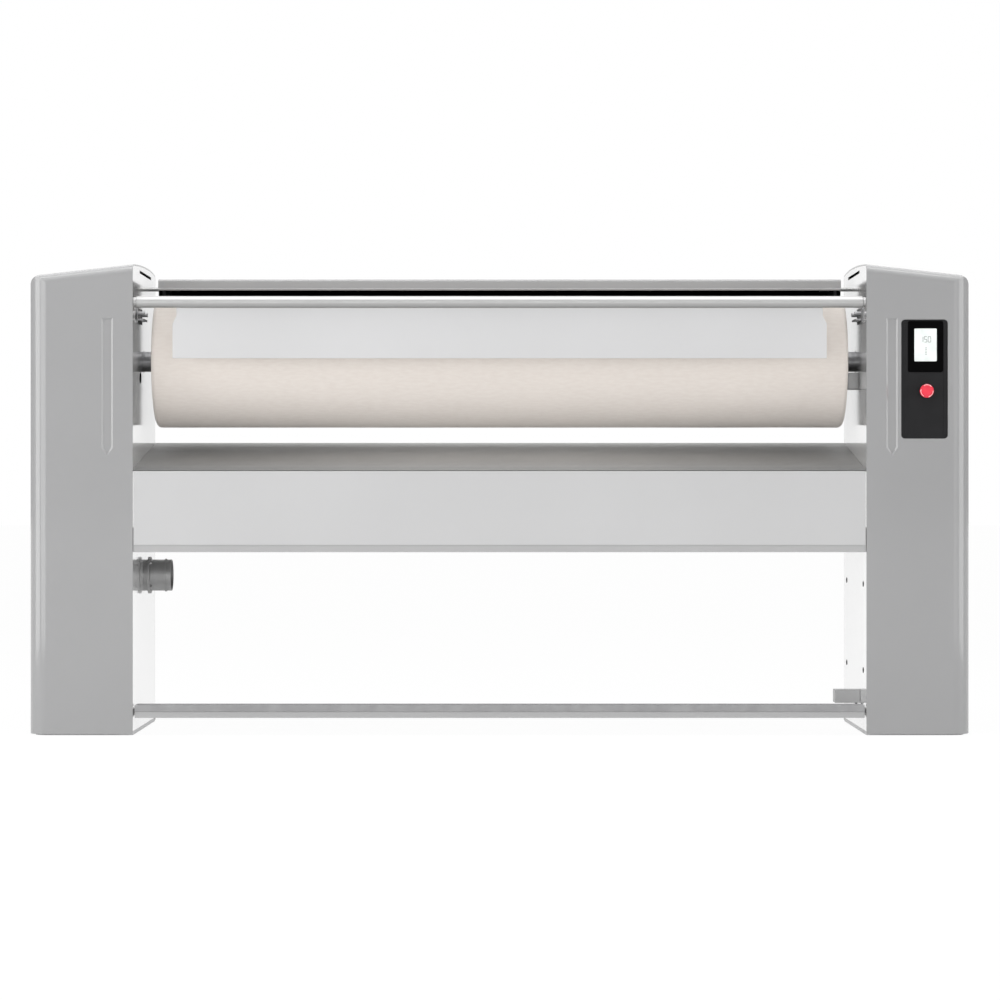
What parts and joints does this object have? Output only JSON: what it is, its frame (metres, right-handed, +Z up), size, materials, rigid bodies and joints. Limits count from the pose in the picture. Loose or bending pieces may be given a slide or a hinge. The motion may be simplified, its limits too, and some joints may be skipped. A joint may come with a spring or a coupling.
{
  "type": "flatwork ironer",
  "caption": "Flatwork ironer: a cloth-covered roll between two side cabinets, with a heated chest, finger guard, return tray, foot bar and a control panel.",
  "frame": {"origin": "on the floor, under the middle of the machine", "axes": "+X to the operator's right along the roll, +Y from the front to the rear, +Z up"},
  "size_m": [2.138, 0.516, 1.081],
  "materials": {
    "cover_paint": "satin grey paint with a fine texture",
    "stainless": "bright brushed stainless sheet",
    "panel_paint": "smooth light grey paint",
    "tray_paint": "smooth dark grey paint",
    "roll_cloth": "cream woven ironing cloth",
    "steel": "turned and cut steel",
    "cast": "dark cast and blackened parts",
    "aluminium": "satin aluminium",
    "dark_plastic": "matt black plastic",
    "gloss_black": "polished black",
    "screen": "pale lit screen",
    "red_plastic": "red moulded plastic",
    "rubber": "ribbed grey rubber",
    "felt": "mineral wool blanket"
  },
  "bodies": {
    "root": {"left_base_skid": "panel_paint", "right_base_skid": "panel_paint", "left_inner_wall": "stainless", "right_inner_wall": "stainless", "left_cover": "cover_paint", "right_cover": "cover_paint", "left_rear_cover": "cover_paint", "right_rear_cover": "cover_paint", "front_beam": "panel_paint", "rear_beam": "panel_paint", "front_panel": "panel_paint", "return_tray": "tray_paint", "bearing_left": "cast", "bearing_right": "cast", "drive_chain": "cast", "gearbox": "aluminium", "drive_motor": "aluminium", "motor_bracket": "steel", "press_cylinder": "aluminium", "fan_housing": "panel_paint", "fan_motor": "cast", "suction_duct": "aluminium", "exhaust_stub": "steel", "guard_bush_left": "aluminium", "guard_bush_right": "aluminium", "guard_bracket_left": "steel", "guard_bracket_right": "steel", "guard_switch": "dark_plastic", "pedal_switch_box": "dark_plastic", "control_panel": "dark_plastic", "display_module": "gloss_black", "display_screen": "screen", "electrics_plate": "stainless", "contactor": "dark_plastic", "cable_gland": "dark_plastic", "roll_sensor": "dark_plastic"},
    "roll": {"roll_tube": "steel", "roll_padding": "roll_cloth", "roll_journal_left": "steel", "roll_journal_right": "steel", "roll_sprocket": "cast"},
    "pinion": {"motor_sprocket": "steel"},
    "chest": {"heated_chest": "aluminium", "heating_element": "steel", "chest_insulation": "felt", "chest_hood": "cover_paint", "chest_rib_left": "steel", "chest_rib_right": "steel", "chest_pivot_left": "steel", "chest_pivot_right": "steel", "press_lever": "steel"},
    "rod": {"press_rod": "steel"},
    "wheel": {"fan_wheel": "aluminium"},
    "guard": {"guard_bar": "aluminium", "guard_plate": "panel_paint"},
    "pedal": {"pedal_bar": "panel_paint", "pedal_tread": "rubber"},
    "plunger": {"switch_plunger": "steel"},
    "stem": {"stop_stem": "dark_plastic"},
    "button": {"stop_button": "red_plastic"}
  },
  "joints": [
    {"name": "roll_spin", "type": "hinge", "parent": "root", "child": "roll", "pos_m": [0, -0.01, 0.857], "axis": [1, 0, 0], "continuous": true},
    {"name": "pinion_spin", "type": "hinge", "parent": "root", "child": "pinion", "pos_m": [0.883, -0.01, 0.557], "axis": [1, 0, 0], "continuous": true},
    {"name": "chest_press", "type": "hinge", "parent": "root", "child": "chest", "pos_m": [0, 0.1838, 1.039], "axis": [1, 0, 0], "range_deg": [-3, 0]},
    {"name": "rod_slide", "type": "slide", "parent": "root", "child": "rod", "axis": [0, 1, 0], "range_m": [-0.0045, 0]},
    {"name": "wheel_spin", "type": "hinge", "parent": "root", "child": "wheel", "pos_m": [-0.95, 0.008, 0.405], "axis": [0, 1, 0], "continuous": true},
    {"name": "guard_swing", "type": "hinge", "parent": "root", "child": "guard", "pos_m": [0, -0.2268, 0.9838], "axis": [1, 0, 0], "range_deg": [0, 9]},
    {"name": "pedal_press", "type": "hinge", "parent": "root", "child": "pedal", "pos_m": [0, -0.11, 0.05], "axis": [1, 0, 0], "range_deg": [0, 8], "stiffness_Nm_per_rad": 8, "springref_deg": -57.3},
    {"name": "plunger_lift", "type": "slide", "parent": "root", "child": "plunger", "axis": [0, 0, 1], "range_m": [0, 0.0035]},
    {"name": "stop_press", "type": "slide", "parent": "root", "child": "stem", "axis": [0, 1, 0], "range_m": [0, 0.005], "stiffness_N_per_m": 500, "springref_m": -0.004},
    {"name": "stop_twist", "type": "hinge", "parent": "stem", "child": "button", "pos_m": [0.967, -0.252, 0.781], "axis": [0, 1, 0], "range_deg": [0, 45], "stiffness_Nm_per_rad": 0.05, "springref_deg": -17.19}
  ],
  "couplings": [
    {"joint": "pinion_spin", "follows": "roll_spin", "ratio": 2.4},
    {"joint": "rod_slide", "follows": "chest_press", "m_per_rad": 0.085},
    {"joint": "plunger_lift", "follows": "pedal_press", "m_per_rad": 0.0235}
  ]
}
